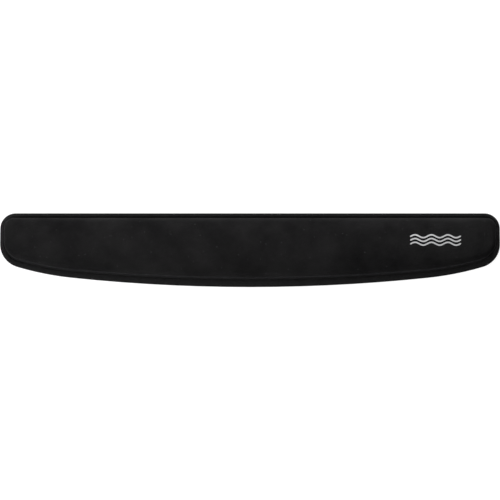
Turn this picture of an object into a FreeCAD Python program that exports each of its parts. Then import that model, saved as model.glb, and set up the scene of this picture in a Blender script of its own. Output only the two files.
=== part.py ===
"""Keyboard wrist rest: a gel pad under a formed knit cover, glued to a non-slip base sheet.

Millimetres. +X runs along the length, +Y points to the keyboard, -Y to the user, +Z up.
The origin is the middle of the footprint, on the desk.

From the desk up: base sheet, adhesive film, stiffener board, second adhesive film, foam bed
with a recess, gel pouch (floor film, gel, lid film), comfort sponge, knit cover and its
printed mark.
The cover runs out over the rim, where a seal film welds it to the base sheet.
"""

import FreeCAD, Part
import math
import os
from collections import namedtuple

# Overall sizes
LENGTH = 460.0
DEPTH = 68.0
HEIGHT = 20.0

# Plan outline: straight back edge, bowed front edge, round corners
BACK_CORNER = 14.0
FRONT_CORNER = 22.0
BLEND_RADIUS = 280.0  # long arc between the front bow and the front corner
BOW_TURN = 6.0  # degrees that the front edge has turned where the bow ends
BLEND_TURN = 16.5  # degrees that it has turned where the blend ends
LEAST_CORNER = 1.0  # an inset outline keeps at least this corner

# Flat rim left around the raised pad
RIM_END = 5.0
RIM_BACK = 5.5
RIM_FRONT = 8.1
PAD_BOW_TURN = 5.0  # the pad's front edge is flatter, so the rim is widest in the middle

# Pad form
CROWN_RADIUS = 130.0
CROWN_BACK = 6.0  # the highest line lies this far behind the pad's middle
SHOULDER = 5.0  # round edge between the walls and the crown
FOOT_FILLET = 1.0  # hollow where the wall meets the rim

# Layers
BASE_SHEET = 1.8
SEAL_FILM = 0.2
COVER = 0.9
SPONGE = 2.0
ADHESIVE_FILM = 0.2
BOARD = 1.5
BED_FLOOR = 4.0
BED_WALL = 5.0
POUCH_FILM = 0.3
BOARD_GAP = 0.4  # board edge to sponge
FILM_MARGIN = 1.0  # the adhesive film stops this far inside the board's edge

# Grip cells moulded into the underside of the base sheet
CELL_FLATS = 4.6
CELL_PITCH = 7.0
CELL_DEPTH = 0.6
CELL_MARGIN = 3.0  # plain border around the cells

# Printed mark: three wavy stripes
MARK_X = 169.0
MARK_Y = 7.5
MARK_INK = 0.1
STRIPE_COUNT = 3
STRIPE_WIDTH = 1.3
STRIPE_PITCH = 3.4
WAVE_CHORD = 7.5
WAVE_RISE = 1.3
WAVE_COUNT = 6

CUT_PAST = 1.0  # cutting tools run this far past what they cut

# Heights and insets that follow
SEAL_TOP = BASE_SHEET + SEAL_FILM
RIM_TOP = SEAL_TOP + COVER
BOARD_FOOT = BASE_SHEET + ADHESIVE_FILM
BOARD_TOP = BOARD_FOOT + BOARD
BED_FOOT = BOARD_TOP + ADHESIVE_FILM
RECESS_FLOOR = BED_FOOT + BED_FLOOR
GEL_FLOOR = RECESS_FLOOR + POUCH_FILM
CAVITY_INSET = COVER + SPONGE
BOARD_INSET = CAVITY_INSET + BOARD_GAP
FILM_INSET = BOARD_INSET + FILM_MARGIN
RECESS_INSET = CAVITY_INSET + BED_WALL

Plan = namedtuple("Plan", "half_length front back back_corner front_corner blend bow_turn")

RIM_PLAN = Plan(
    LENGTH / 2, -DEPTH / 2, DEPTH / 2, BACK_CORNER, FRONT_CORNER, BLEND_RADIUS, BOW_TURN
)
PAD_PLAN = Plan(
    RIM_PLAN.half_length - RIM_END,
    RIM_PLAN.front + RIM_FRONT,
    RIM_PLAN.back - RIM_BACK,
    BACK_CORNER - RIM_BACK,
    FRONT_CORNER - RIM_END,
    BLEND_RADIUS - RIM_END,
    PAD_BOW_TURN,
)
CROWN_Y = (PAD_PLAN.front + PAD_PLAN.back) / 2 + CROWN_BACK
CROWN_Z = HEIGHT - CROWN_RADIUS


def arc_edge(centre, radius, start, end):
    """Arc about centre. Angles are in radians from -Y, turning towards +X."""

    def at(angle):
        return FreeCAD.Vector(
            centre[0] + radius * math.sin(angle), centre[1] - radius * math.cos(angle), 0
        )

    return Part.Arc(at(start), at((start + end) / 2), at(end)).toShape()


def line_edge(start, end):
    return Part.LineSegment(FreeCAD.Vector(*start, 0), FreeCAD.Vector(*end, 0)).toShape()


def next_centre(centre, radius, next_radius, angle):
    """Centre of the arc that carries on smoothly at angle with next_radius."""
    step = radius - next_radius
    return (centre[0] + step * math.sin(angle), centre[1] - step * math.cos(angle))


def outline(plan, inset=0.0):
    """Closed wire of the plan outline, moved inwards by inset, at z = 0."""
    half = plan.half_length - inset
    front = plan.front + inset
    back = plan.back - inset
    blend = plan.blend - inset
    corner = max(plan.front_corner - inset, LEAST_CORNER)
    back_corner = max(plan.back_corner - inset, LEAST_CORNER)
    bow_end = math.radians(plan.bow_turn)
    blend_end = math.radians(BLEND_TURN)
    side = math.pi / 2

    corner_share = corner * (1 - math.sin(blend_end))
    blend_share = blend * (math.sin(blend_end) - math.sin(bow_end))
    bow = (half - corner_share - blend_share) / math.sin(bow_end)

    bow_centre = (0.0, front + bow)
    blend_centre = next_centre(bow_centre, bow, blend, bow_end)
    corner_centre = next_centre(blend_centre, blend, corner, blend_end)
    back_centre = (half - back_corner, back - back_corner)

    right = [
        arc_edge(bow_centre, bow, 0, bow_end),
        arc_edge(blend_centre, blend, bow_end, blend_end),
        arc_edge(corner_centre, corner, blend_end, side),
        line_edge((half, corner_centre[1]), (half, back_centre[1])),
        arc_edge(back_centre, back_corner, side, math.pi),
        line_edge((back_centre[0], back), (0, back)),
    ]
    left = [
        edge.mirror(FreeCAD.Vector(0, 0, 0), FreeCAD.Vector(1, 0, 0)) for edge in reversed(right)
    ]
    return Part.Wire(right + left)


def plate(plan, inset, low, high):
    """Flat plate with the plan outline moved inwards by inset."""
    face = Part.Face(outline(plan, inset))
    face.translate(FreeCAD.Vector(0, 0, low))
    return face.extrude(FreeCAD.Vector(0, 0, high - low))


def crown(inset):
    """Long cylinder whose top is the pad's crown, moved inwards by inset."""
    length = LENGTH + 2 * CUT_PAST
    return Part.makeCylinder(
        CROWN_RADIUS - inset,
        length,
        FreeCAD.Vector(-length / 2, CROWN_Y, CROWN_Z),
        FreeCAD.Vector(1, 0, 0),
    )


def dome(inset, low):
    """The pad's form from low up to its crown, all its surfaces moved inwards by inset."""
    body = plate(PAD_PLAN, inset, low, HEIGHT).common(crown(inset)).Solids[0]
    top = max(body.Faces, key=lambda face: face.CenterOfMass.z)
    smallest_corner = min(PAD_PLAN.back_corner, PAD_PLAN.front_corner) - inset
    shoulder = min(SHOULDER - inset, smallest_corner - LEAST_CORNER / 2)
    return body.makeFillet(shoulder, top.Edges)


def grip_cells():
    """Hexagonal cells in staggered rows, clear of the sheet's edge."""
    clear = Part.Face(outline(RIM_PLAN, CELL_MARGIN + CELL_FLATS / 2))
    row_pitch = CELL_PITCH * math.sqrt(3) / 2
    rows = int(DEPTH / 2 / row_pitch)
    columns = int(LENGTH / 2 / CELL_PITCH) + 1
    corner_radius = CELL_FLATS / math.sqrt(3)
    cells = []
    for row in range(-rows, rows + 1):
        shift = CELL_PITCH / 2 if row % 2 else 0.0
        for column in range(-columns, columns + 1):
            middle = FreeCAD.Vector(column * CELL_PITCH + shift, row * row_pitch, 0)
            if clear.isInside(middle, 0.01, True):
                corners = [
                    middle
                    + FreeCAD.Vector(
                        corner_radius * math.sin(k * math.pi / 3),
                        corner_radius * math.cos(k * math.pi / 3),
                        -CUT_PAST,
                    )
                    for k in range(7)
                ]
                cell = Part.Face(Part.makePolygon(corners))
                cells.append(cell.extrude(FreeCAD.Vector(0, 0, CUT_PAST + CELL_DEPTH)))
    return cells


def base_sheet():
    return plate(RIM_PLAN, 0, 0, BASE_SHEET).cut(Part.makeCompound(grip_cells()))


def base_adhesive():
    return plate(PAD_PLAN, FILM_INSET, BASE_SHEET, BOARD_FOOT)


def stiffener_board():
    return plate(PAD_PLAN, BOARD_INSET, BOARD_FOOT, BOARD_TOP)


def bed_adhesive():
    return plate(PAD_PLAN, FILM_INSET, BOARD_TOP, BED_FOOT)


def foam_bed():
    """Foam block that fills the cavity, with a recess open at the top for the gel pouch."""
    recess = plate(PAD_PLAN, RECESS_INSET, RECESS_FLOOR, HEIGHT)
    return dome(CAVITY_INSET, BED_FOOT).cut(recess)


def gel_pouch_floor():
    return plate(PAD_PLAN, RECESS_INSET, RECESS_FLOOR, GEL_FLOOR)


def gel_core():
    inset = RECESS_INSET + POUCH_FILM
    return plate(PAD_PLAN, inset, GEL_FLOOR, HEIGHT).common(crown(CAVITY_INSET + POUCH_FILM))


def gel_pouch_lid():
    """Film over the top and round the sides of the gel."""
    outside = plate(PAD_PLAN, RECESS_INSET, GEL_FLOOR, HEIGHT).common(crown(CAVITY_INSET))
    inside = plate(PAD_PLAN, RECESS_INSET + POUCH_FILM, GEL_FLOOR - CUT_PAST, HEIGHT)
    return outside.cut(inside.common(crown(CAVITY_INSET + POUCH_FILM)))


def comfort_sponge():
    return dome(COVER, BASE_SHEET).cut(dome(CAVITY_INSET, BASE_SHEET - CUT_PAST))


def rim_seal():
    """Film ring that welds the cover's rim to the base sheet."""
    inside = plate(PAD_PLAN, COVER, BASE_SHEET - CUT_PAST, SEAL_TOP + CUT_PAST)
    return plate(RIM_PLAN, 0, BASE_SHEET, SEAL_TOP).cut(inside)


def cover_cloth():
    """Formed knit cover: the pad's skin and the flat rim around it, in one piece."""
    body = plate(RIM_PLAN, 0, SEAL_TOP, RIM_TOP).fuse(dome(0, SEAL_TOP))
    foot = [
        edge
        for edge in body.Edges
        if abs(edge.BoundBox.ZMin - RIM_TOP) < 0.01
        and abs(edge.BoundBox.ZMax - RIM_TOP) < 0.01
        and on_outline(edge, PAD_PLAN)
    ]
    body = body.makeFillet(FOOT_FILLET, foot)
    return body.cut(dome(COVER, SEAL_TOP - CUT_PAST))


def on_outline(edge, plan):
    """True if an edge runs along the plan outline."""
    middle = edge.valueAt((edge.FirstParameter + edge.LastParameter) / 2)
    flat = Part.Vertex(middle.x, middle.y, 0)
    return outline(plan).distToShape(flat)[0] < 0.01


def wave_stripe(middle_y):
    """Flat face of one wavy stripe with round ends."""
    radius = (WAVE_CHORD**2 / 4 + WAVE_RISE**2) / (2 * WAVE_RISE)
    slope = math.asin(WAVE_CHORD / 2 / radius)
    start_x = MARK_X - WAVE_COUNT * WAVE_CHORD / 2
    half = STRIPE_WIDTH / 2

    def joint(k, offset):
        """Point where waves k - 1 and k meet, moved off the centreline by offset."""
        lean = slope if k % 2 else -slope
        return FreeCAD.Vector(
            start_x + k * WAVE_CHORD + offset * math.sin(lean),
            middle_y + offset * math.cos(lean),
            0,
        )

    def crest(k, offset):
        """Middle of wave k, moved off the centreline by offset."""
        rise = -WAVE_RISE if k % 2 else WAVE_RISE
        return FreeCAD.Vector(start_x + (k + 0.5) * WAVE_CHORD, middle_y + rise + offset, 0)

    def end_cap(k, outwards):
        lean = slope if k % 2 else -slope
        tip = joint(k, 0) + FreeCAD.Vector(
            outwards * half * math.cos(lean), -outwards * half * math.sin(lean), 0
        )
        return Part.Arc(joint(k, half), tip, joint(k, -half)).toShape()

    upper = [
        Part.Arc(joint(k, half), crest(k, half), joint(k + 1, half)).toShape()
        for k in range(WAVE_COUNT)
    ]
    lower = [
        Part.Arc(joint(k, -half), crest(k, -half), joint(k + 1, -half)).toShape()
        for k in range(WAVE_COUNT)
    ]
    caps = [end_cap(0, -1), end_cap(WAVE_COUNT, 1)]
    return Part.Face(Part.Wire(Part.__sortEdges__(upper + lower + caps)))


def printed_mark():
    """Ink stripes on top of the cover, each a solid of its own."""
    ink = crown(-MARK_INK).cut(crown(0))
    stripes = []
    for k in range(STRIPE_COUNT):
        face = wave_stripe(MARK_Y + (k - (STRIPE_COUNT - 1) / 2) * STRIPE_PITCH)
        stripes += face.extrude(FreeCAD.Vector(0, 0, HEIGHT + CUT_PAST)).common(ink).Solids
    return Part.makeCompound(stripes)


PIECES = [
    base_sheet,
    base_adhesive,
    stiffener_board,
    bed_adhesive,
    foam_bed,
    gel_pouch_floor,
    gel_core,
    gel_pouch_lid,
    comfort_sponge,
    rim_seal,
    cover_cloth,
    printed_mark,
]


def main():
    os.makedirs("parts", exist_ok=True)
    for piece in PIECES:
        shape = piece()
        shape.exportStep("parts/" + piece.__name__ + ".step")
        box = shape.BoundBox
        print(
            f"{piece.__name__}: {len(shape.Solids)} solid, valid {shape.isValid()},"
            f" {shape.Volume / 1000:.2f} cm3, z {box.ZMin:.2f} to {box.ZMax:.2f}"
        )


main()
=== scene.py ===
import math

import bmesh
import bpy
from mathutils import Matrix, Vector, noise
from mathutils.bvhtree import BVHTree


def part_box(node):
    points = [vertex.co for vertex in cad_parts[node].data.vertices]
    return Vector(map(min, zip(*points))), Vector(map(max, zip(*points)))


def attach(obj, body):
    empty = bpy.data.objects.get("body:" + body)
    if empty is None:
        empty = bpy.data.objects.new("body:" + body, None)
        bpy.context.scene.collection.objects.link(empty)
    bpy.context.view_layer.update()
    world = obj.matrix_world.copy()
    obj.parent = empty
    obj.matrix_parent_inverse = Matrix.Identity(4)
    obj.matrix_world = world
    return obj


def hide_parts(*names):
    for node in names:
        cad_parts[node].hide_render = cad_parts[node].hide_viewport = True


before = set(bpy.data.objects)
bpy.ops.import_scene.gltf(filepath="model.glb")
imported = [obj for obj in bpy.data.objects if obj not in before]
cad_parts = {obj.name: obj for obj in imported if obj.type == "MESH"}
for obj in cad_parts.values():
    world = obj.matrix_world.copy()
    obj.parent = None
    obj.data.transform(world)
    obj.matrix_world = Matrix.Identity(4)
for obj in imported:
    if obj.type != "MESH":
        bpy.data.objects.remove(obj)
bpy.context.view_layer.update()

mm = 0.001


# Working with operators

def deselectAll():
    if bpy.context.object and bpy.context.object.mode != "OBJECT":
        bpy.ops.object.mode_set(mode="OBJECT")
    bpy.ops.object.select_all(action="DESELECT")


def pickUp(piece):
    deselectAll()
    piece.select_set(True)
    bpy.context.view_layer.objects.active = piece


def applyModifier(piece, kind, **settings):
    pickUp(piece)
    modifier = piece.modifiers.new(kind.title(), kind)
    for setting, value in settings.items():
        setattr(modifier, setting, value)
    bpy.ops.object.modifier_apply(modifier=modifier.name)


# The knit cover: flat rim, pressed seal line, wall, round shoulder and crowned top in one cloth.
# Its plan follows the bonded layers: bowed front, blend, corner, side, back corner, back.

coverForm = {
    "cloth": 0.9 * mm,
    "corner": 22 * mm,  # of the rim: the pad's is smaller by the width of the rim
    "backCorner": 14 * mm,
    "blend": 280 * mm,
    "bowTurn": {"rim": 6.0, "pad": 5.0},  # degrees that the front has turned where its bow ends
    "blendTurn": 16.5,
    "crownRadius": 130 * mm,
    "crownBack": 6 * mm,  # the highest line lies this far behind the pad's middle
    "shoulder": 5 * mm,
    "foot": 1 * mm,  # hollow between the wall and the rim
    "sealDepth": 0.4 * mm,  # heat-pressed line beside the foot
    "sealFloor": 0.5 * mm,
    "sealSlope": 0.9 * mm,
    "slopeEnd": 0.32,  # share of the rim by which the seal line has risen to the rim's level
    "rimPuff": 0.2 * mm,
    "edgeRound": 0.5 * mm,
    "weld": 0.01 * mm,  # points nearer than this are joined
    "cutEdge": 0.12 * mm,  # square foot of the rim's cut edge
    "underRim": (0.04, 0.5, 0.96, 1.0),  # rings on the inner side, from the edge to the wall
    "upWall": (0.05, 0.5, 1.0),
}
stationCounts = {"bow": 54, "blend": 17, "corner": 18, "side": 6, "backCorner": 14, "back": 73}
gridColumns = 2 * (stationCounts["bow"] + stationCounts["blend"] + stationCounts["corner"] // 2)
gridRows = stationCounts["corner"] // 2 + stationCounts["side"] + stationCounts["backCorner"] // 2
stationTotal = 2 * (gridColumns + gridRows)
ringCounts = {"shoulder": 9, "wall": 4, "foot": 4, "slope": 3, "rim": 6, "edge": 3, "inside": 5}

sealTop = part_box("rim_seal")[1].z
rimTop = sealTop + coverForm["cloth"]
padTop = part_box("cover_cloth")[1].z


def lean(angle):
    return Vector((math.sin(angle), -math.cos(angle)))


def arcStations(centre, radius, start, end, count):
    turns = [start + (end - start) * k / count for k in range(count)]
    return [(centre + radius * lean(turn), lean(turn)) for turn in turns]


def lineStations(start, end, outward, count):
    return [(start.lerp(end, k / count), outward) for k in range(count)]


# Places and outward directions round an outline, anticlockwise from the middle of the front
def outlineStations(kind):
    rimLow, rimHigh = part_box("base_sheet")
    low, high = (rimLow, rimHigh) if kind == "rim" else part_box("comfort_sponge")
    grow = 0.0 if kind == "rim" else coverForm["cloth"]
    half, front, back = high.x + grow, low.y - grow, high.y + grow
    endRim, backRim = rimHigh.x - half, rimHigh.y - back
    corner, backCorner = coverForm["corner"] - endRim, coverForm["backCorner"] - backRim
    blend = coverForm["blend"] - endRim
    bowEnd = math.radians(coverForm["bowTurn"][kind])
    blendEnd = math.radians(coverForm["blendTurn"])
    cornerShare = corner * (1 - math.sin(blendEnd))
    blendShare = blend * (math.sin(blendEnd) - math.sin(bowEnd))
    bow = (half - cornerShare - blendShare) / math.sin(bowEnd)
    bowCentre = Vector((0, front + bow))
    blendCentre = bowCentre + (bow - blend) * lean(bowEnd)
    cornerCentre = blendCentre + (blend - corner) * lean(blendEnd)
    backCentre = Vector((half - backCorner, back - backCorner))
    count = stationCounts
    right = arcStations(bowCentre, bow, 0, bowEnd, count["bow"])
    right += arcStations(blendCentre, blend, bowEnd, blendEnd, count["blend"])
    right += arcStations(cornerCentre, corner, blendEnd, math.pi / 2, count["corner"])
    right += lineStations(
        Vector((half, cornerCentre.y)), Vector((half, backCentre.y)), Vector((1, 0)), count["side"]
    )
    right += arcStations(backCentre, backCorner, math.pi / 2, math.pi, count["backCorner"])
    right += lineStations(
        Vector((backCentre.x, back)), Vector((0, back)), Vector((0, 1)), count["back"]
    )
    right.append((Vector((0, back)), Vector((0, 1))))
    left = [(Vector((-p.x, p.y)), Vector((-n.x, n.y))) for p, n in reversed(right[1:-1])]
    return right + left


padStations = outlineStations("pad")
rimStations = outlineStations("rim")
padMiddle = (padStations[0][0].y + padStations[stationTotal // 2][0].y) / 2
crownAxis = Vector((0, padMiddle + coverForm["crownBack"], padTop - coverForm["crownRadius"]))


def crownNormal(place):
    return Vector((0, place.y - crownAxis.y, place.z - crownAxis.z)).normalized()


def onCrown(place, depth=0.0):
    rise = math.sqrt((coverForm["crownRadius"] - depth) ** 2 - (place.y - crownAxis.y) ** 2)
    return Vector((place.x, place.y, crownAxis.z + rise))


# The shoulder rolls along wall and crown: turn is 0 on the wall and 1 where the crown begins
def shoulderPlace(station, turn, depth=0.0):
    place, outward = padStations[station]
    middle = onCrown(place - outward * coverForm["shoulder"], coverForm["shoulder"])
    direction = outward.to_3d().slerp(crownNormal(middle), turn)
    return middle + (coverForm["shoulder"] - depth) * direction


def wallPlace(station, share, depth=0.0, low=0.0):
    high = shoulderPlace(station, 0, depth)
    return high.lerp(Vector((high.x, high.y, low)), share)


def footPlace(station, angle):
    place, outward = padStations[station]
    radius = coverForm["foot"]
    floor = rimTop - coverForm["sealDepth"]
    flat = place + outward * radius * (1 - math.cos(angle))
    return flat.to_3d() + Vector((0, 0, floor + (rimTop + radius - floor) * (1 - math.sin(angle))))


# Across the rim, from the seal line's floor out to the round edge: share runs from 0 to 1
def rimPlace(station, share):
    place, outward = padStations[station]
    edge, edgeOutward = rimStations[station]
    start = place + outward * (coverForm["foot"] + coverForm["sealFloor"])
    end = edge - edgeOutward * coverForm["edgeRound"]
    flat = start.lerp(end, share)
    slopeShare = min(1.0, share * (end - start).length / coverForm["sealSlope"])
    rise = coverForm["sealDepth"] * (0.5 - 0.5 * math.cos(math.pi * slopeShare))
    puff = coverForm["rimPuff"] * math.sin(math.pi * share) * slopeShare
    return flat.to_3d() + Vector((0, 0, rimTop - coverForm["sealDepth"] + rise + puff))


def edgePlace(station, angle):
    edge, outward = rimStations[station]
    radius = coverForm["edgeRound"]
    flat = edge - outward * radius * (1 - math.sin(angle))
    return flat.to_3d() + Vector((0, 0, rimTop - radius * (1 - math.cos(angle))))


def rimEdgePlace(station, height):
    return rimStations[station][0].to_3d() + Vector((0, 0, height))


def underRimPlace(station, share):
    inner = wallPlace(station, 1, coverForm["cloth"], sealTop)
    return rimEdgePlace(station, sealTop).lerp(inner, share)


# One ring round the cover for each value, at the place that the function gives a station
def ringsAt(placeAt, values):
    return [[placeAt(station, value) for station in range(stationTotal)] for value in values]


# Equal steps after start, up to and including end
def steps(start, end, count):
    return [start + (end - start) * k / count for k in range(1, count + 1)]


def outsideRings():
    count, slopeEnd = ringCounts, coverForm["slopeEnd"]
    foot = rimTop + coverForm["foot"]
    rings = ringsAt(shoulderPlace, steps(1, 0, count["shoulder"]))
    rings += ringsAt(lambda s, share: wallPlace(s, share, low=foot), steps(0, 1, count["wall"]))
    rings += ringsAt(footPlace, steps(0, math.pi / 2, count["foot"]))
    rings += ringsAt(rimPlace, [0] + steps(0, slopeEnd, count["slope"]))
    rings += ringsAt(rimPlace, steps(slopeEnd, 1, count["rim"]))
    rings += ringsAt(edgePlace, steps(0, math.pi / 2, count["edge"]))
    rings += ringsAt(rimEdgePlace, (sealTop + coverForm["cutEdge"], sealTop))
    return rings


def insideRings():
    depth = coverForm["cloth"]
    rings = ringsAt(underRimPlace, coverForm["underRim"])
    rings += ringsAt(
        lambda s, share: wallPlace(s, 1 - share, depth, sealTop), coverForm["upWall"]
    )
    rings += ringsAt(
        lambda s, turn: shoulderPlace(s, turn, depth), steps(0, 1, ringCounts["inside"])
    )
    return rings


def stationOf(column, row):
    halfWidth = gridColumns // 2
    if row == 0:
        return (column - halfWidth) % stationTotal
    if row == gridRows:
        return halfWidth + gridRows + gridColumns - column
    if column == gridColumns:
        return halfWidth + row
    if column == 0:
        return stationTotal - halfWidth - row
    return -1


# A grid's place on the crown, stretched between the four sides of the shoulder's upper line
def capPlace(column, row, border):
    across, along = column / gridColumns, row / gridRows
    front, back = border[stationOf(column, 0)], border[stationOf(column, gridRows)]
    left, right = border[stationOf(0, row)], border[stationOf(gridColumns, row)]
    corners = front * 0
    for cornerColumn, shareAcross in ((0, 1 - across), (gridColumns, across)):
        for cornerRow, shareAlong in ((0, 1 - along), (gridRows, along)):
            corners += border[stationOf(cornerColumn, cornerRow)] * shareAcross * shareAlong
    flat = front.lerp(back, along) + left.lerp(right, across) - corners
    return onCrown(flat)


def extrudeRing(mesh, places):
    bpy.ops.mesh.extrude_edges_indiv()
    edit = bmesh.from_edit_mesh(mesh)
    station = edit.verts.layers.int["station"]
    onCap = edit.verts.layers.int["onCap"]
    clothPlace = edit.verts.layers.float_vector["clothPlace"]
    for vert in edit.verts:
        if vert.select:
            place = places[vert[station]]
            outward = padStations[vert[station]][1].to_3d()
            vert[clothPlace] = vert[clothPlace] + outward * (place - vert.co).length
            vert[onCap] = 0
            vert.co = place
    bmesh.update_edit_mesh(mesh)


def buildCover():
    deselectAll()
    bpy.ops.mesh.primitive_grid_add(x_subdivisions=gridColumns, y_subdivisions=gridRows, size=2)
    cover = bpy.context.object
    mesh = cover.data
    bpy.ops.object.mode_set(mode="EDIT")
    bpy.ops.mesh.select_mode(type="EDGE")
    bpy.ops.mesh.select_all(action="DESELECT")
    edit = bmesh.from_edit_mesh(mesh)
    station = edit.verts.layers.int.new("station")
    onCap = edit.verts.layers.int.new("onCap")
    clothPlace = edit.verts.layers.float_vector.new("clothPlace")
    border = [shoulderPlace(s, 1) for s in range(stationTotal)]
    for vert in edit.verts:
        column = round((vert.co.x + 1) / 2 * gridColumns)
        row = round((vert.co.y + 1) / 2 * gridRows)
        vert[station] = stationOf(column, row)
        vert[onCap] = 1
        vert.co = capPlace(column, row, border) if vert[station] < 0 else border[vert[station]]
        vert[clothPlace] = Vector((vert.co.x, vert.co.y, 0))
    for edge in edit.edges:
        edge.select_set(edge.is_boundary)
    bmesh.update_edit_mesh(mesh)
    for places in outsideRings():
        extrudeRing(mesh, places)
    bpy.ops.object.mode_set(mode="OBJECT")
    return cover


# Gel under pressure: the cloth swells between the seal line and the crown

swell = {
    "pressure": 1.2,
    "quality": 6,
    "frames": 20,
    "heldAboveFoot": 0.1 * mm,  # all that lies lower is held by the weld
    "most": 0.7 * mm,
    "patches": ((36 * mm, 0.38 * mm), (14 * mm, 0.12 * mm)),  # size and height of the unevenness
    "patchStart": (7.3, 2.1, 0.4),
    "endDroop": 0.55 * mm,  # the pad sinks a little towards both ends
    "endReach": 22 * mm,
    "deepest": 0.7 * mm,  # the sponge lies a cloth's thickness below
}


def pinSealedRim(cover):
    group = cover.vertex_groups.new(name="sealed")
    station = cover.data.attributes["station"].data
    footTop = rimTop + coverForm["foot"] + swell["heldAboveFoot"]
    held = [
        vert.index
        for vert in cover.data.vertices
        if vert.co.z < footTop and station[vert.index].value >= 0
    ]
    group.add(held, 1.0, "REPLACE")


def simulateSwelling(cover):
    pinSealedRim(cover)
    pickUp(cover)
    modifier = cover.modifiers.new("Cloth", "CLOTH")
    cloth = modifier.settings
    cloth.quality = swell["quality"]
    cloth.use_pressure = True
    cloth.uniform_pressure_force = swell["pressure"]
    cloth.effector_weights.gravity = 0
    cloth.vertex_group_mass = "sealed"
    modifier.point_cache.frame_start = 1
    modifier.point_cache.frame_end = swell["frames"]
    for step in range(1, swell["frames"] + 1):
        bpy.context.scene.frame_set(step)
    rest = [vert.co.copy() for vert in cover.data.vertices]
    bpy.ops.object.modifier_apply(modifier=modifier.name)
    bpy.context.scene.frame_set(1)
    moves = [vert.co - place for vert, place in zip(cover.data.vertices, rest)]
    most = max(move.length for move in moves)
    share = min(1.0, swell["most"] / most)
    print(f"cloth moved up to {most / mm:.2f} mm, kept {share:.0%}")
    for vert, place, move in zip(cover.data.vertices, rest, moves):
        vert.co = place + move * share


# How much of the crown's unevenness a point takes: none on rim and wall, all of it on the top
def crownShare(place):
    foot = rimTop + coverForm["foot"]
    shoulderFoot = padTop - coverForm["shoulder"]
    share = min(1.0, max(0.0, (place.z - foot) / (shoulderFoot - foot)))
    return share * share * (3 - 2 * share)


def shapeCrown(cover):
    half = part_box("comfort_sponge")[1].x
    start = Vector(swell["patchStart"])
    for vert in cover.data.vertices:
        share = crownShare(vert.co)
        if share > 0:
            uneven = 0.0
            for size, height in swell["patches"]:
                uneven += height * noise.noise(vert.co / size + start)
            fromEnd = max(0.0, 1 - (half - abs(vert.co.x)) / swell["endReach"])
            change = uneven - swell["endDroop"] * fromEnd * fromEnd
            vert.co.z += share * max(-swell["deepest"], change)


# The cloth's inner side: back under the rim, up the wall and across under the crown
def closeCover(cover):
    mesh = cover.data
    pickUp(cover)
    bpy.ops.object.mode_set(mode="EDIT")
    bpy.ops.mesh.select_mode(type="EDGE")
    bpy.ops.mesh.select_all(action="DESELECT")
    edit = bmesh.from_edit_mesh(mesh)
    for edge in edit.edges:
        edge.select_set(edge.is_boundary)
    bmesh.update_edit_mesh(mesh)
    for places in insideRings():
        extrudeRing(mesh, places)
    bpy.ops.mesh.select_all(action="DESELECT")
    bpy.ops.mesh.select_mode(type="FACE")
    edit = bmesh.from_edit_mesh(mesh)
    onCap = edit.verts.layers.int["onCap"]
    for face in edit.faces:
        face.select_set(all(vert[onCap] for vert in face.verts))
    bmesh.update_edit_mesh(mesh)
    bpy.ops.mesh.duplicate()
    edit = bmesh.from_edit_mesh(mesh)
    station = edit.verts.layers.int["station"]
    for vert in edit.verts:
        if vert.select and vert[station] < 0:
            vert.co = onCrown(vert.co, coverForm["cloth"])
        elif vert.select:
            vert.co = shoulderPlace(vert[station], 1, coverForm["cloth"])
    bmesh.update_edit_mesh(mesh)
    bpy.ops.mesh.select_all(action="SELECT")
    bpy.ops.mesh.remove_doubles(threshold=coverForm["weld"])
    bpy.ops.mesh.normals_make_consistent(inside=False)
    bpy.ops.object.mode_set(mode="OBJECT")


def makeCover():
    cover = buildCover()
    simulateSwelling(cover)
    shapeCrown(cover)
    closeCover(cover)
    applyModifier(cover, "SUBSURF", levels=1, render_levels=1)
    bpy.ops.object.shade_smooth()
    cover.name = cover.data.name = "knitCover"
    return cover


knitCover = makeCover()
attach(knitCover, "root")
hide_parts("cover_cloth")
print("knit cover formed")


# Three wavy stripes of silver ink, laid on the finished cloth

inkForm = {
    "stripes": 3,
    "width": 1.3 * mm,
    "halfWave": 7.5 * mm,
    "rise": 1.3 * mm,
    "thickness": 0.08 * mm,
    "sunk": 0.02 * mm,  # ink soaks this far into the cloth
    "tip": 0.12,  # how blunt the rounded tips are
    "columns": 120,
    "rows": 4,
    "smoothBelow": 40,  # degrees between faces
}


def stripePlace(share, across, start, run, middle):
    half = inkForm["width"] / 2
    along = share * run
    x = start + along
    turn = math.pi * (along - half) / inkForm["halfWave"]
    slope = math.atan(inkForm["rise"] * math.pi / inkForm["halfWave"] * math.cos(turn))
    fromEnd = min(along, run - along) / half
    narrow = math.sqrt(max(inkForm["tip"], 1 - (1 - min(1.0, fromEnd)) ** 2))
    offset = across * half * narrow
    y = middle + inkForm["rise"] * math.sin(turn)
    return Vector((x - offset * math.sin(slope), y + offset * math.cos(slope), 0))


def makeStripe(middle, cloth):
    low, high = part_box("printed_mark")
    deselectAll()
    bpy.ops.mesh.primitive_grid_add(
        x_subdivisions=inkForm["columns"], y_subdivisions=inkForm["rows"], size=2
    )
    stripe = bpy.context.object
    for vert in stripe.data.vertices:
        share = (vert.co.x + 1) / 2
        place = stripePlace(share, vert.co.y, low.x, high.x - low.x, middle)
        hit = cloth.ray_cast(place + Vector((0, 0, 2 * padTop)), Vector((0, 0, -1)))[0]
        vert.co = hit - Vector((0, 0, inkForm["sunk"]))
    applyModifier(
        stripe, "SOLIDIFY", thickness=inkForm["thickness"] + inkForm["sunk"], offset=1.0
    )
    return stripe


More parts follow.
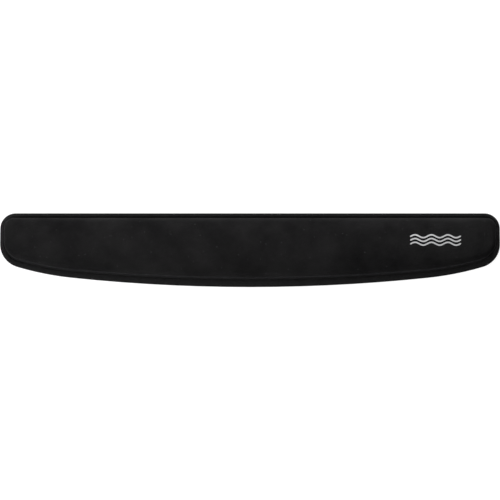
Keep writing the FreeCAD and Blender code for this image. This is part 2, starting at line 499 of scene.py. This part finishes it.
def makeStripes():
    low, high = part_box("printed_mark")
    cloth = BVHTree.FromObject(knitCover, bpy.context.evaluated_depsgraph_get())
    edgeMiddle = inkForm["rise"] + inkForm["width"] / 2
    first, last = low.y + edgeMiddle, high.y - edgeMiddle
    stripes = [
        makeStripe(first + (last - first) * k / (inkForm["stripes"] - 1), cloth)
        for k in range(inkForm["stripes"])
    ]
    deselectAll()
    for stripe in stripes:
        stripe.select_set(True)
    bpy.context.view_layer.objects.active = stripes[0]
    bpy.ops.object.join()
    bpy.ops.object.shade_smooth_by_angle(angle=math.radians(inkForm["smoothBelow"]))
    stripes[0].name = stripes[0].data.name = "inkStripes"
    return stripes[0]


inkStripes = makeStripes()
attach(inkStripes, "root")
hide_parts("printed_mark")
print("ink stripes laid")


# Building shader nodes

def addNode(tree, kind, inputs=None, **settings):
    node = tree.nodes.new(kind)
    for setting, value in settings.items():
        setattr(node, setting, value)
    for socket, value in (inputs or {}).items():
        if isinstance(value, bpy.types.NodeSocket):
            tree.links.new(value, node.inputs[socket])
        else:
            node.inputs[socket].default_value = value
    return node


def maths(tree, operation, *values):
    inputs = dict(enumerate(values))
    return addNode(tree, "ShaderNodeMath", inputs, operation=operation).outputs[0]


def remap(tree, value, low, high, newLow, newHigh):
    inputs = {
        "Value": value, "From Min": low, "From Max": high, "To Min": newLow, "To Max": newHigh,
    }
    return addNode(tree, "ShaderNodeMapRange", inputs, clamp=True).outputs["Result"]


def scaled(tree, place, size):
    factor = maths(tree, "DIVIDE", 1.0, size)
    inputs = {0: place, "Scale": factor}
    return addNode(tree, "ShaderNodeVectorMath", inputs, operation="SCALE").outputs["Vector"]


def newEffect(name, inputs, outputs):
    tree = bpy.data.node_groups.new(name, "ShaderNodeTree")
    for label, value in inputs.items():
        kind = "NodeSocketVector" if value is None else "NodeSocketFloat"
        socket = tree.interface.new_socket(label, in_out="INPUT", socket_type=kind)
        if value is not None:
            socket.default_value = value
    for label in outputs:
        tree.interface.new_socket(label, in_out="OUTPUT", socket_type="NodeSocketFloat")
    return tree, tree.nodes.new("NodeGroupInput").outputs, tree.nodes.new("NodeGroupOutput").inputs


# Broad soft patches
def makeSoftMottle():
    tree, given, result = newEffect("softMottle", {"Place": None, "Patch Size": 0.03}, ["Mottle"])
    place = scaled(tree, given["Place"], given["Patch Size"])
    inputs = {"Vector": place, "Scale": 1.0, "Detail": 3.0, "Roughness": 0.55}
    patches = addNode(tree, "ShaderNodeTexNoise", inputs)
    tree.links.new(remap(tree, patches.outputs[0], 0.3, 0.7, 0.0, 1.0), result["Mottle"])
    return tree


# Fine-gauge knit: rows of leaning loops side by side in columns

loopForm = {
    "wale": 0.58 * mm,  # width of a column of loops
    "course": 0.46 * mm,  # height of a row
    "lean": 1.1,  # how far the legs of a loop lean, in rows
    "roundness": 0.6,
    "gapBelow": 0.35,  # share of a loop's height below which the gap shows: painted shade on cloth, thinner ink
}


def makeKnitLoops():
    inputs = {"Place": None, "Wale": loopForm["wale"], "Course": loopForm["course"]}
    tree, given, result = newEffect("knitLoops", inputs, ["Height", "Gap"])
    split = addNode(tree, "ShaderNodeSeparateXYZ", {0: given["Place"]}).outputs
    wale = maths(tree, "DIVIDE", split["X"], given["Wale"])
    course = maths(tree, "DIVIDE", split["Y"], given["Course"])
    fromMiddle = maths(tree, "ABSOLUTE", maths(tree, "SUBTRACT", maths(tree, "FRACT", wale), 0.5))
    leaning = maths(tree, "MULTIPLY_ADD", fromMiddle, loopForm["lean"], course)
    loop = maths(tree, "SINE", maths(tree, "MULTIPLY", maths(tree, "FRACT", leaning), math.pi))
    leg = maths(tree, "ABSOLUTE", maths(tree, "SINE", maths(tree, "MULTIPLY", wale, 2 * math.pi)))
    roundness = loopForm["roundness"]
    rounded = maths(tree, "MULTIPLY_ADD", leg, roundness, 1 - roundness)
    height = maths(tree, "MULTIPLY", loop, rounded)
    tree.links.new(height, result["Height"])
    gap = remap(tree, height, 0.0, loopForm["gapBelow"], 1.0, 0.0)
    tree.links.new(gap, result["Gap"])
    return tree


# Moulded or calendered grain
def makeFineGrain():
    tree, given, result = newEffect("fineGrain", {"Place": None, "Grain Size": 0.0006}, ["Height"])
    place = scaled(tree, given["Place"], given["Grain Size"])
    pebble = addNode(
        tree, "ShaderNodeTexVoronoi", {"Vector": place, "Scale": 1.0}, feature="SMOOTH_F1"
    )
    grit = addNode(tree, "ShaderNodeTexNoise", {"Vector": place, "Scale": 2.3, "Detail": 2.0})
    height = maths(tree, "MULTIPLY_ADD", grit.outputs[0], 0.4, pebble.outputs["Distance"])
    tree.links.new(height, result["Height"])
    return tree


# Cut foam: round cells with thin walls, and a mask of the cells' hollows for painted shade
def makeFoamCells():
    tree, given, result = newEffect(
        "foamCells", {"Place": None, "Cell Size": 0.0007}, ["Height", "Hollow"]
    )
    place = scaled(tree, given["Place"], given["Cell Size"])
    cells = addNode(tree, "ShaderNodeTexVoronoi", {"Vector": place, "Scale": 1.0}, feature="F1")
    hollow = remap(tree, cells.outputs["Distance"], 0.15, 0.6, 1.0, 0.0)
    tree.links.new(maths(tree, "SUBTRACT", 1.0, hollow), result["Height"])
    tree.links.new(hollow, result["Hollow"])
    return tree


# Sparse specks of lint and dust
def makeLint():
    tree, given, result = newEffect(
        "lint", {"Place": None, "Spacing": 0.012, "Speck Size": 0.00035}, ["Speck"]
    )
    place = scaled(tree, given["Place"], given["Spacing"])
    points = addNode(tree, "ShaderNodeTexVoronoi", {"Vector": place, "Scale": 1.0}, feature="F1")
    grit = addNode(
        tree, "ShaderNodeTexNoise",
        {"Vector": scaled(tree, given["Place"], given["Speck Size"]), "Scale": 1.4, "Detail": 2.0},
    )
    reach = maths(tree, "DIVIDE", given["Speck Size"], given["Spacing"])
    ragged = maths(tree, "MULTIPLY", reach, maths(tree, "MULTIPLY", grit.outputs[0], 1.9))
    share = maths(tree, "DIVIDE", points.outputs["Distance"], ragged)
    near = remap(tree, share, 0.45, 1.0, 1.0, 0.0)
    chosen = addNode(tree, "ShaderNodeSeparateColor", {0: points.outputs["Color"]}).outputs[0]
    tree.links.new(maths(tree, "MULTIPLY", near, chosen), result["Speck"])
    return tree


softMottle = makeSoftMottle()
knitLoops = makeKnitLoops()
fineGrain = makeFineGrain()
foamCells = makeFoamCells()
lint = makeLint()


def newMaterial(name, **values):
    material = bpy.data.materials.new(name)
    material.use_nodes = True
    shader = material.node_tree.nodes["Principled BSDF"]
    for socket, value in values.items():
        shader.inputs[socket.replace("_", " ")].default_value = value
    return material, material.node_tree, shader


def effect(tree, group, place, **values):
    node = addNode(tree, "ShaderNodeGroup", node_tree=group)
    tree.links.new(place, node.inputs["Place"])
    for socket, value in values.items():
        node.inputs[socket.replace("_", " ")].default_value = value
    return node.outputs


def objectPlace(tree):
    return addNode(tree, "ShaderNodeTexCoord").outputs["Object"]


def mixColour(tree, factor, first, second):
    node = addNode(tree, "ShaderNodeMix", {"Factor": factor}, data_type="RGBA")
    for socket, value in (("A", first), ("B", second)):
        target = next(s for s in node.inputs if s.name == socket and s.type == "RGBA")
        if isinstance(value, bpy.types.NodeSocket):
            tree.links.new(value, target)
        else:
            target.default_value = (*value, 1)
    return next(s for s in node.outputs if s.type == "RGBA")


def addBump(tree, shader, height, distance, strength=1.0, under=None):
    inputs = {"Height": height, "Distance": distance, "Strength": strength}
    bump = addNode(tree, "ShaderNodeBump", inputs)
    if under is not None:
        tree.links.new(under, bump.inputs["Normal"])
    tree.links.new(bump.outputs[0], shader.inputs["Normal"])
    return bump.outputs[0]


knitFinish = {
    "yarn": (0.0058, 0.0058, 0.0060),
    "yarnPale": (0.0138, 0.0136, 0.0138),
    # gap: painted shade in the hollows between the knit loops
    "gap": (0.0038, 0.0038, 0.0040),
    # rim colour: the pressed cloth's paler tone plus painted light against the wall's shade on it
    "pressedPaleAndLit": (0.0165, 0.0165, 0.0169),  # heat-pressed rim: a little paler, plus painted light
    "pressedAndLitHeights": (0.3 * mm, 2.5 * mm),  # above the rim, where pressed look and painted light fade
    "pressedAndLitMost": 0.85,
    "lint": (0.034, 0.034, 0.035),
    "lintSpacing": 5 * mm,
    "lintSize": 0.6 * mm,
    "cloudStart": (0.46, 0.2, 1.2),  # where the patches begin, chosen for how they fall on the pad
    "cloud": (52 * mm, 15 * mm),  # sizes of the soft patches in the nap
    "smallCloudShare": 0.3,
    "roughness": (0.66, 0.5),  # of dark and of pale nap
    "lumps": (11 * mm, 0.35 * mm),  # size and height of the gel's small lumps
    "creases": (20 * mm, 0.12 * mm),  # spacing and height of the fine folds
    "creaseWidth": 0.11,  # share of the way from one fold to the next
    "creaseFrom": 0.62,  # folds show only where the small patches are paler than this
    "loopDepth": 0.09 * mm,
}


def makeKnitMaterial():
    material, tree, shader = newMaterial(
        "blackKnit", Sheen_Weight=0.03, Sheen_Roughness=0.35, Sheen_Tint=(0.9, 0.92, 1.0, 1),
        Specular_IOR_Level=0.01,
    )
    place = addNode(tree, "ShaderNodeAttribute", attribute_name="clothPlace").outputs["Vector"]
    knit = effect(tree, knitLoops, place)
    broad, small = knitFinish["cloud"]
    laid = addNode(
        tree, "ShaderNodeMapping", {"Vector": place, "Location": knitFinish["cloudStart"]}
    ).outputs["Vector"]
    broadCloud = effect(tree, softMottle, laid, Patch_Size=broad)["Mottle"]
    smallCloud = effect(tree, softMottle, laid, Patch_Size=small)["Mottle"]
    smallShare = knitFinish["smallCloudShare"]
    broadPart = maths(tree, "MULTIPLY", broadCloud, 1 - smallShare)
    cloud = maths(tree, "MULTIPLY_ADD", smallCloud, smallShare, broadPart)
    nap = remap(tree, cloud, 0.1, 0.9, 0.0, 1.0)
    specks = effect(
        tree, lint, place, Spacing=knitFinish["lintSpacing"], Speck_Size=knitFinish["lintSize"]
    )["Speck"]
    yarn = mixColour(tree, nap, knitFinish["yarn"], knitFinish["yarnPale"])
    height = addNode(tree, "ShaderNodeSeparateXYZ", {0: objectPlace(tree)}).outputs["Z"]
    # Painted light with the pressed tone: rim and wall foot are painted paler against the wall's
    # shade
    low, high = knitFinish["pressedAndLitHeights"]
    pressedPaleAndLit = remap(tree, height, rimTop + low, rimTop + high, knitFinish["pressedAndLitMost"], 0.0)
    yarn = mixColour(tree, pressedPaleAndLit, yarn, knitFinish["pressedPaleAndLit"])
    # Painted shade: the hollows between the loops are painted darker
    cloth = mixColour(tree, knit["Gap"], yarn, knitFinish["gap"])
    colour = mixColour(tree, specks, cloth, knitFinish["lint"])
    tree.links.new(colour, shader.inputs["Base Color"])
    roughness = remap(tree, nap, 0.0, 1.0, *knitFinish["roughness"])
    tree.links.new(roughness, shader.inputs["Roughness"])
    size, distance = knitFinish["lumps"]
    lumps = effect(tree, softMottle, place, Patch_Size=size)["Mottle"]
    under = addBump(tree, shader, lumps, distance)
    size, distance = knitFinish["creases"]
    folds = effect(tree, softMottle, place, Patch_Size=size)["Mottle"]
    fromFold = maths(tree, "ABSOLUTE", maths(tree, "SUBTRACT", folds, 0.5))
    where = remap(tree, smallCloud, knitFinish["creaseFrom"], 0.9, 0.0, 1.0)
    ridge = remap(tree, fromFold, 0.0, knitFinish["creaseWidth"], 1.0, 0.0)
    creases = maths(tree, "MULTIPLY", ridge, where)
    under = addBump(tree, shader, creases, distance, under=under)
    addBump(tree, shader, knit["Height"], knitFinish["loopDepth"], under=under)
    return material


inkFinish = {
    "silver": (0.60, 0.60, 0.61),
    "worn": (0.36, 0.36, 0.37),  # thin where it sinks between the loops
    "grain": 0.25 * mm,
    "roughness": (0.38, 0.6),
    "loopDepth": 0.03 * mm,
}


def makeInkMaterial():
    material, tree, shader = newMaterial("silverInk", Metallic=0.75)
    place = objectPlace(tree)
    knit = effect(tree, knitLoops, place)
    grain = effect(tree, fineGrain, place, Grain_Size=inkFinish["grain"])["Height"]
    colour = mixColour(tree, knit["Gap"], inkFinish["silver"], inkFinish["worn"])
    tree.links.new(colour, shader.inputs["Base Color"])
    roughness = remap(tree, grain, 0.0, 1.0, *inkFinish["roughness"])
    tree.links.new(roughness, shader.inputs["Roughness"])
    addBump(tree, shader, knit["Height"], inkFinish["loopDepth"])
    return material


rubberFinish = {
    "dark": (0.014, 0.014, 0.015),
    "pale": (0.022, 0.022, 0.023),
    "patch": 20 * mm,
    "dust": (0.12, 0.12, 0.11),
    "dustSpacing": 9 * mm,
    "dustSize": 0.3 * mm,
    "grain": 0.5 * mm,
    "grainDepth": 0.05 * mm,
    "roughness": (0.62, 0.86),
}


def makeRubberMaterial():
    material, tree, shader = newMaterial("nonSlipRubber", Specular_IOR_Level=0.35)
    place = objectPlace(tree)
    grain = effect(tree, fineGrain, place, Grain_Size=rubberFinish["grain"])["Height"]
    mottle = effect(tree, softMottle, place, Patch_Size=rubberFinish["patch"])["Mottle"]
    dust = effect(
        tree, lint, place, Spacing=rubberFinish["dustSpacing"], Speck_Size=rubberFinish["dustSize"]
    )["Speck"]
    rubber = mixColour(tree, mottle, rubberFinish["dark"], rubberFinish["pale"])
    colour = mixColour(tree, dust, rubber, rubberFinish["dust"])
    tree.links.new(colour, shader.inputs["Base Color"])
    roughness = remap(tree, grain, 0.0, 1.0, *rubberFinish["roughness"])
    tree.links.new(roughness, shader.inputs["Roughness"])
    addBump(tree, shader, grain, rubberFinish["grainDepth"])
    return material


adhesiveFinish = {
    "dark": (0.030, 0.029, 0.027),
    "pale": (0.055, 0.052, 0.047),
    "patch": 6 * mm,
    "grain": 1.2 * mm,
    "grainDepth": 0.03 * mm,
    "roughness": (0.25, 0.5),
}


def makeAdhesiveMaterial():
    material, tree, shader = newMaterial("hotMeltFilm", Specular_IOR_Level=0.5)
    place = objectPlace(tree)
    mottle = effect(tree, softMottle, place, Patch_Size=adhesiveFinish["patch"])["Mottle"]
    grain = effect(tree, fineGrain, place, Grain_Size=adhesiveFinish["grain"])["Height"]
    colour = mixColour(tree, mottle, adhesiveFinish["dark"], adhesiveFinish["pale"])
    tree.links.new(colour, shader.inputs["Base Color"])
    roughness = remap(tree, mottle, 0.0, 1.0, *adhesiveFinish["roughness"])
    tree.links.new(roughness, shader.inputs["Roughness"])
    addBump(tree, shader, grain, adhesiveFinish["grainDepth"])
    return material


boardFinish = {
    "dark": (0.075, 0.076, 0.08),
    "pale": (0.10, 0.10, 0.105),
    "patch": 50 * mm,
    "grain": 0.4 * mm,
    "grainDepth": 0.03 * mm,
    "roughness": (0.4, 0.6),
}


def makeBoardMaterial():
    material, tree, shader = newMaterial("boardPlastic", Specular_IOR_Level=0.45)
    place = objectPlace(tree)
    grain = effect(tree, fineGrain, place, Grain_Size=boardFinish["grain"])["Height"]
    mottle = effect(tree, softMottle, place, Patch_Size=boardFinish["patch"])["Mottle"]
    colour = mixColour(tree, mottle, boardFinish["dark"], boardFinish["pale"])
    tree.links.new(colour, shader.inputs["Base Color"])
    roughness = remap(tree, grain, 0.0, 1.0, *boardFinish["roughness"])
    tree.links.new(roughness, shader.inputs["Roughness"])
    addBump(tree, shader, grain, boardFinish["grainDepth"])
    return material


# dark: painted shade in the hollows of the open cells
foamFinishes = {
    "foam_bed": {
        "name": "evaFoam", "cellSize": 0.6 * mm, "depth": 0.12 * mm,
        "pale": (0.045, 0.045, 0.05), "dark": (0.02, 0.02, 0.022),
    },
    "comfort_sponge": {
        "name": "spongeFoam", "cellSize": 1.0 * mm, "depth": 0.3 * mm,
        "pale": (0.07, 0.07, 0.075), "dark": (0.015, 0.015, 0.016),
    },
}
foamPatch = 18 * mm


def makeFoamMaterial(name, cellSize, depth, pale, dark):
    material, tree, shader = newMaterial(name, Specular_IOR_Level=0.2, Roughness=0.9)
    place = objectPlace(tree)
    cells = effect(tree, foamCells, place, Cell_Size=cellSize)
    mottle = effect(tree, softMottle, place, Patch_Size=foamPatch)["Mottle"]
    skin = mixColour(tree, mottle, pale, [0.8 * value for value in pale])
    # Painted shade: the hollows of the open cells are painted dark
    colour = mixColour(tree, cells["Hollow"], skin, dark)
    tree.links.new(colour, shader.inputs["Base Color"])
    addBump(tree, shader, cells["Height"], depth)
    return material


pouchFinish = {
    "clear": (0.80, 0.86, 0.90),
    "cloudy": (0.70, 0.77, 0.82),
    "patch": 12 * mm,
    "patchDepth": 0.2 * mm,
    "roughness": (0.08, 0.2),
}


def makePouchMaterial():
    material, tree, shader = newMaterial(
        "pouchFilm", Transmission_Weight=0.75, IOR=1.5, Coat_Weight=0.3
    )
    place = objectPlace(tree)
    mottle = effect(tree, softMottle, place, Patch_Size=pouchFinish["patch"])["Mottle"]
    colour = mixColour(tree, mottle, pouchFinish["clear"], pouchFinish["cloudy"])
    tree.links.new(colour, shader.inputs["Base Color"])
    roughness = remap(tree, mottle, 0.0, 1.0, *pouchFinish["roughness"])
    tree.links.new(roughness, shader.inputs["Roughness"])
    addBump(tree, shader, mottle, pouchFinish["patchDepth"])
    return material


gelFinish = {
    "deep": (0.30, 0.52, 0.68),
    "pale": (0.40, 0.62, 0.76),
    "patch": 15 * mm,
    "patchDepth": 0.3 * mm,
    "bubble": (0.75, 0.85, 0.9),
    "bubbleSpacing": 6 * mm,
    "bubbleSize": 0.6 * mm,
    "roughness": (0.12, 0.3),
}


def makeGelMaterial():
    material, tree, shader = newMaterial("softGel", Transmission_Weight=0.55, IOR=1.45)
    place = objectPlace(tree)
    mottle = effect(tree, softMottle, place, Patch_Size=gelFinish["patch"])["Mottle"]
    bubbles = effect(
        tree, lint, place, Spacing=gelFinish["bubbleSpacing"], Speck_Size=gelFinish["bubbleSize"]
    )["Speck"]
    gel = mixColour(tree, mottle, gelFinish["deep"], gelFinish["pale"])
    colour = mixColour(tree, bubbles, gel, gelFinish["bubble"])
    tree.links.new(colour, shader.inputs["Base Color"])
    roughness = remap(tree, mottle, 0.0, 1.0, *gelFinish["roughness"])
    tree.links.new(roughness, shader.inputs["Roughness"])
    addBump(tree, shader, mottle, gelFinish["patchDepth"])
    return material


def dress(piece, material):
    if not piece.data.materials:
        piece.data.materials.append(material)
    for slot in piece.material_slots:
        slot.material = material


adhesive = makeAdhesiveMaterial()
pouchFilm = makePouchMaterial()
nodeFinishes = {
    "base_sheet": makeRubberMaterial(),
    "base_adhesive": adhesive,
    "stiffener_board": makeBoardMaterial(),
    "bed_adhesive": adhesive,
    "foam_bed": makeFoamMaterial(**foamFinishes["foam_bed"]),
    "gel_pouch_floor": pouchFilm,
    "gel_core": makeGelMaterial(),
    "gel_pouch_lid": pouchFilm,
    "comfort_sponge": makeFoamMaterial(**foamFinishes["comfort_sponge"]),
    "rim_seal": adhesive,
}
for node, material in nodeFinishes.items():
    dress(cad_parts[node], material)
dress(knitCover, makeKnitMaterial())
dress(inkStripes, makeInkMaterial())
print("materials laid on")


# Floor, light and camera

studio = {
    "floorSize": 8.0,
    "floorGap": 0.05 * mm,
    "floorColour": (0.25, 0.25, 0.25, 1),
    "floorGlow": 0.86,  # lifts the floor to white without lighting the rest
    "skyStrength": 0.1,
    "skySeen": 1.0,
    "lights": {  # place, size, power
        "over": ((-0.15, 0.15, 1.3), (0.8, 0.6), 3.2),
        "behind": ((0.0, 1.4, 0.38), (1.2, 0.35), 50.0),
        "frontLeft": ((-0.75, -0.85, 0.75), (0.9, 0.5), 8.0),
        "nearLeft": ((-0.8, -0.35, 0.45), (0.5, 0.4), 4.4),
        "nearOver": ((-0.45, -0.15, 0.75), (0.5, 0.4), 1.0),
        "frontLow": ((-0.3, -1.1, 0.35), (0.9, 0.3), 4.0),
    },
    "elevation": 84.5,
    "lens": 135.0,
    "widthSeen": 0.4597,
    "aim": (0.0, 0.0, 0.003),
}


def makeFloor():
    deselectAll()
    bpy.ops.mesh.primitive_plane_add(size=studio["floorSize"])
    floor = bpy.context.object
    floor.name = floor.data.name = "studioFloor"
    material, tree, shader = newMaterial(
        "palePaper", Base_Color=studio["floorColour"], Roughness=0.9, Specular_IOR_Level=0.1,
        Emission_Color=(1, 1, 1, 1),
    )
    seen = addNode(tree, "ShaderNodeLightPath").outputs["Is Camera Ray"]
    glow = maths(tree, "MULTIPLY", seen, studio["floorGlow"])
    tree.links.new(glow, shader.inputs["Emission Strength"])
    dress(floor, material)
    for vert in floor.data.vertices:
        vert.co.z = -studio["floorGap"]


def makeLights():
    for name, (place, size, power) in studio["lights"].items():
        light = bpy.data.lights.new(name, "AREA")
        light.shape = "RECTANGLE"
        light.size, light.size_y = size
        light.energy = power
        lamp = bpy.data.objects.new(name, light)
        bpy.context.scene.collection.objects.link(lamp)
        lamp.location = place
        lamp.rotation_euler = (-Vector(place)).to_track_quat("-Z", "Y").to_euler()
    world = bpy.data.worlds.new("paleRoom")
    world.use_nodes = True
    tree = world.node_tree
    seen = addNode(tree, "ShaderNodeLightPath").outputs["Is Camera Ray"]
    strength = remap(tree, seen, 0.0, 1.0, studio["skyStrength"], studio["skySeen"])
    sky = tree.nodes["Background"]
    sky.inputs["Color"].default_value = (1, 1, 1, 1)
    tree.links.new(strength, sky.inputs["Strength"])
    bpy.context.scene.world = world
    bpy.context.scene.view_settings.view_transform = "Standard"


def makeCamera():
    camera = bpy.data.cameras.new("view")
    camera.lens = studio["lens"]
    camera.clip_start, camera.clip_end = 0.01, 50.0
    viewer = bpy.data.objects.new("view", camera)
    bpy.context.scene.collection.objects.link(viewer)
    tilt = math.radians(studio["elevation"])
    distance = studio["widthSeen"] * camera.lens / camera.sensor_width
    back = Vector((0, -math.cos(tilt), math.sin(tilt)))
    viewer.location = Vector(studio["aim"]) + distance * back
    viewer.rotation_euler = (-back).to_track_quat("-Z", "Y").to_euler()
    bpy.context.scene.camera = viewer


makeFloor()
makeLights()
makeCamera()
print("studio ready")
